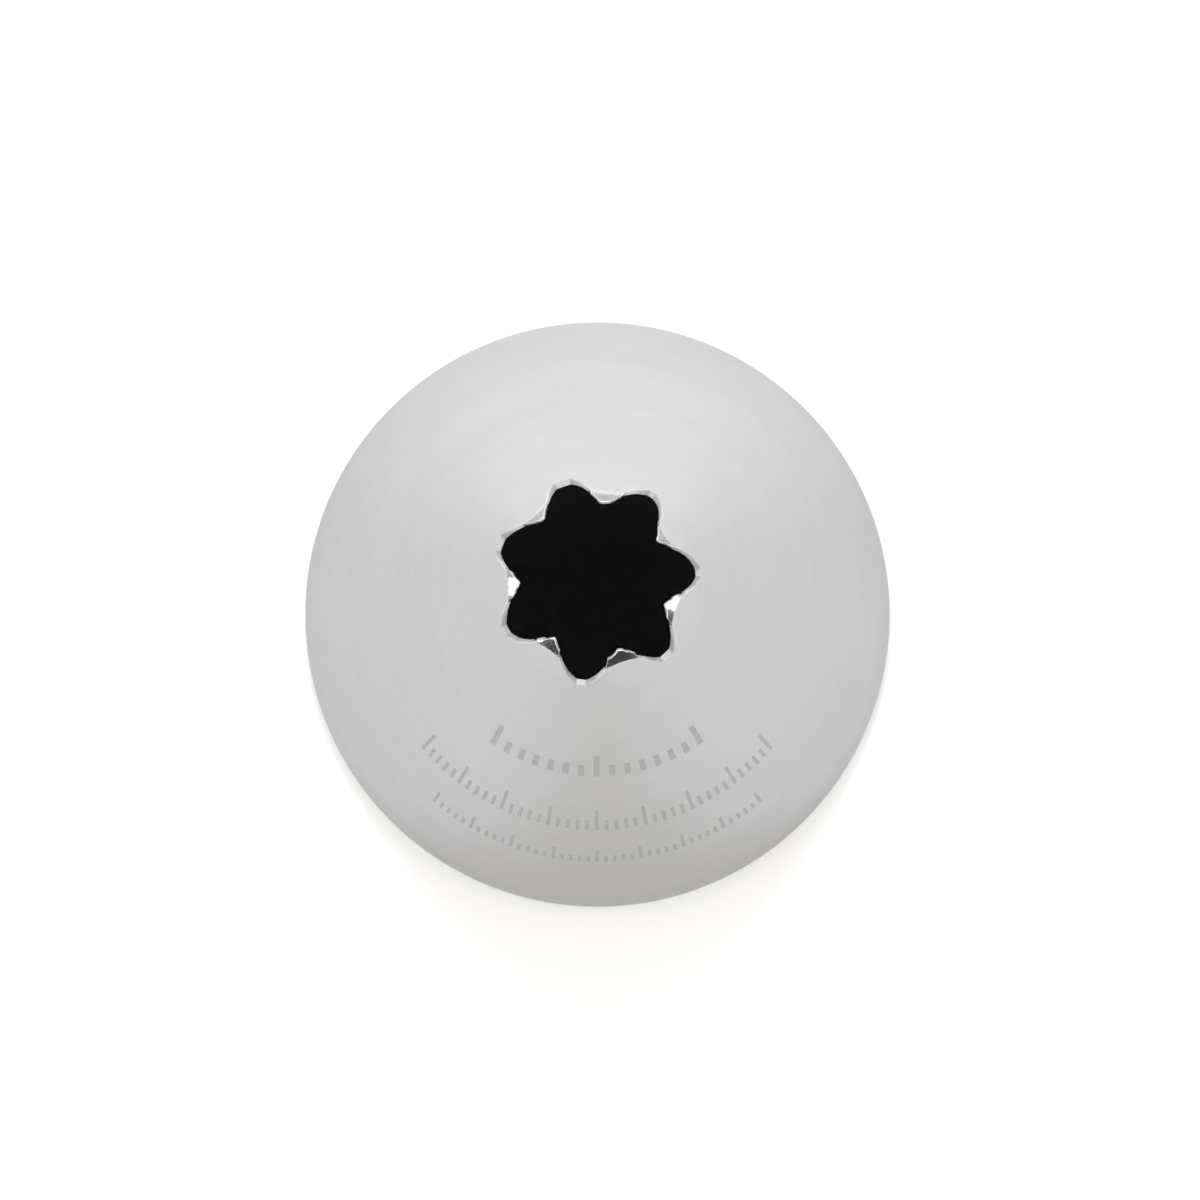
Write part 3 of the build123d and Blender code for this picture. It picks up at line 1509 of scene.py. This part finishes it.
@dataclass(frozen=True)
class SoftBox:
    """A rectangular studio light that faces the nozzle from one side. Lengths are metres."""

    name: str
    azimuth_deg: float
    elevation_deg: float
    distance: float
    width: float
    height: float
    radiance: float
    colour: Colour

    def build(self, aim: Array) -> None:
        """Hang the light and turn it to face the aim point.

        Args:
            aim: Point in metres that the light faces.
        """
        turn = math.radians(self.azimuth_deg)
        rise = math.radians(self.elevation_deg)
        away = np.array([
            math.cos(rise) * math.cos(turn), math.cos(rise) * math.sin(turn), math.sin(rise)
        ])
        lamp = bpy.data.lights.new(self.name, "AREA")
        lamp.shape = "RECTANGLE"
        lamp.size = self.width
        lamp.size_y = self.height
        lamp.energy = self.radiance * math.pi * self.width * self.height
        lamp.color = self.colour
        holder = linked_object(self.name, lamp)
        holder.location = aim + away * self.distance
        holder.rotation_euler = (math.pi / 2 - rise, 0, turn + math.pi / 2)


@dataclass(frozen=True)
class Board:
    """The floor: a square of matt board, lighter behind the nozzle than in front and beside it.

    Lengths are metres. The lighter part is painted light behind the nozzle, which the steel
    reflects. It is read from the distance back over the distance from the origin, which is held
    at a core under the nozzle so that no seam shows at the centre.
    """

    half: float = 0.9
    near_colour: Colour = (0.74, 0.74, 0.74)
    # Painted light: the board's colour behind the nozzle.
    painted_light_colour: Colour = (0.95, 0.95, 0.95)
    painted_light_span: Span = (0.25, 1.10)
    painted_light_core: float = 0.0086
    cloud_per_metre: float = 60.0
    cloud_detail: float = 3.0
    cloud_share: float = 0.06
    roughness: float = 0.9
    specular: float = 0.1

    def build(self) -> None:
        """Lay the floor and dress it."""
        half = self.half
        corners = np.array([[-half, -half, 0], [half, -half, 0], [half, half, 0], [-half, half, 0]])
        mesh = bpy.data.meshes.new("floor")
        mesh.from_pydata(corners, [], [(0, 1, 2, 3)])
        board = linked_object("floor", mesh)
        material = bpy.data.materials.new("matt board")
        material.use_nodes = True
        nodes = Nodes(material.node_tree)
        vector = nodes.add("ShaderNodeTexCoord").outputs["Object"]
        away = nodes.add("ShaderNodeVectorMath", operation="LENGTH")
        nodes.join(vector, away.inputs[0])
        reach = nodes.sum("MAXIMUM", away.outputs["Value"], self.painted_light_core)
        behind = nodes.sum("DIVIDE", nodes.split(vector)["Y"], reach)
        # Painted light: the board is lighter on the side behind the nozzle.
        shade = nodes.step(behind, self.painted_light_span)
        cloud = nodes.noise(vector, self.cloud_per_metre, self.cloud_detail)
        shade = nodes.sum("MULTIPLY_ADD", cloud, self.cloud_share, shade)
        nodes.fill(material.node_tree.nodes["Principled BSDF"], {
            "Base Color": nodes.blend(shade, self.near_colour, self.painted_light_colour),
            "Roughness": self.roughness,
            "Specular IOR Level": self.specular,
        })
        mesh.materials.append(material)


@dataclass(frozen=True)
class Surroundings:
    """Soft light from all round: bright high up, less so behind, and dim low down in front.

    A small spot straight above is dark, as where a camera is held over the table. The world's
    own directions are read: the height and the depth of a direction of length one, of which the
    depth grows towards the back.
    """

    high_span: Span = (0.30, 0.75)
    high_strength: float = 1.42
    front_span: Span = (-0.85, -0.30)
    front_strength: Span = (0.09, 0.62)
    back_span: Span = (0.10, 0.70)
    back_strength: Span = (0.0, 0.45)
    spot_span: Span = (0.982, 0.994)
    spot_share: Span = (1.0, 0.08)
    colour: Colour = (1.0, 0.985, 0.955)

    def build(self) -> None:
        """Make the world and set it."""
        world = bpy.data.worlds.new("studio")
        world.use_nodes = True
        bpy.context.scene.world = world
        nodes = Nodes(world.node_tree)
        sight = nodes.split(nodes.add("ShaderNodeTexCoord").outputs["Generated"])
        ahead = nodes.step(sight["Y"], self.front_span, *self.front_strength)
        behind = nodes.step(sight["Y"], self.back_span, *self.back_strength)
        low = nodes.sum("ADD", ahead, behind)
        high = nodes.step(sight["Z"], self.high_span)
        strength = nodes.step(high, WHOLE, low, self.high_strength)
        spot = nodes.step(sight["Z"], self.spot_span, *self.spot_share)
        nodes.fill(world.node_tree.nodes["Background"], {
            "Strength": nodes.sum("MULTIPLY", strength, spot),
            "Color": rgba(self.colour),
        })


@dataclass
class Studio:
    """Pale floor, five soft boxes, soft surroundings and the camera over the mouth.

    The camera's aim and distance are millimetres. The lights' places are metres.
    """

    board: Board = field(default_factory=Board)
    surroundings: Surroundings = field(default_factory=Surroundings)
    boxes: tuple[SoftBox, ...] = (
        SoftBox("left box", 188.0, 15.0, 0.42, 0.30, 0.16, 2.4, (0.96, 0.98, 1.0)),
        SoftBox("right box", 352.0, 15.0, 0.42, 0.26, 0.16, 2.4, (1.0, 1.0, 1.0)),
        SoftBox("back box", 90.0, 42.0, 0.45, 0.46, 0.24, 1.3, (1.0, 0.985, 0.96)),
        SoftBox("front box", 270.0, 45.0, 0.45, 0.44, 0.24, 2.4, (1.0, 0.985, 0.96)),
        SoftBox("key box", 92.0, 63.0, 0.50, 0.08, 0.08, 50.0, (0.78, 0.87, 1.0)),
    )
    light_aim: Triple = (0.0, 0.0, 0.015)
    camera_aim: Triple = (0.0777, 0.4178, 1.2)
    camera_distance: float = 276.86
    tilt_deg: float = 2.046
    side_tilt_deg: float = 0.07
    focal_length: float = 270.4
    sensor_width: float = 36.0
    clip_start: float = 0.01
    clip_end: float = 10.0

    def camera(self) -> None:
        """Set the camera over the mouth, tilted by the small angle at which it was held."""
        data = bpy.data.cameras.new("camera")
        data.sensor_width = self.sensor_width
        data.lens = self.focal_length
        data.clip_start = self.clip_start
        data.clip_end = self.clip_end
        holder = linked_object("camera", data)
        tilt = math.radians(self.tilt_deg)
        side = math.radians(self.side_tilt_deg)
        sight = np.array([-math.sin(side), math.sin(tilt), -math.cos(tilt) * math.cos(side)])
        holder.location = (np.array(self.camera_aim) - unit(sight) * self.camera_distance) * MM
        holder.rotation_euler = (tilt, side, 0)
        bpy.context.scene.camera = holder

    def build(self) -> None:
        """Set up the camera, the floor and the lights, with colours shown plainly."""
        self.camera()
        self.board.build()
        self.surroundings.build()
        for box in self.boxes:
            box.build(np.array(self.light_aim))
        scene = bpy.context.scene
        scene.view_settings.view_transform = "Standard"
        scene.view_settings.look = "None"


def main() -> None:
    """Build the studio and the nozzle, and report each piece."""
    logging.basicConfig(level=logging.INFO, format="%(name)s %(message)s")
    Studio().build()
    for piece in Nozzle().build():
        LOG.info("%s: %d faces", piece.name, len(piece.data.polygons))


if __name__ == "__main__":
    main()
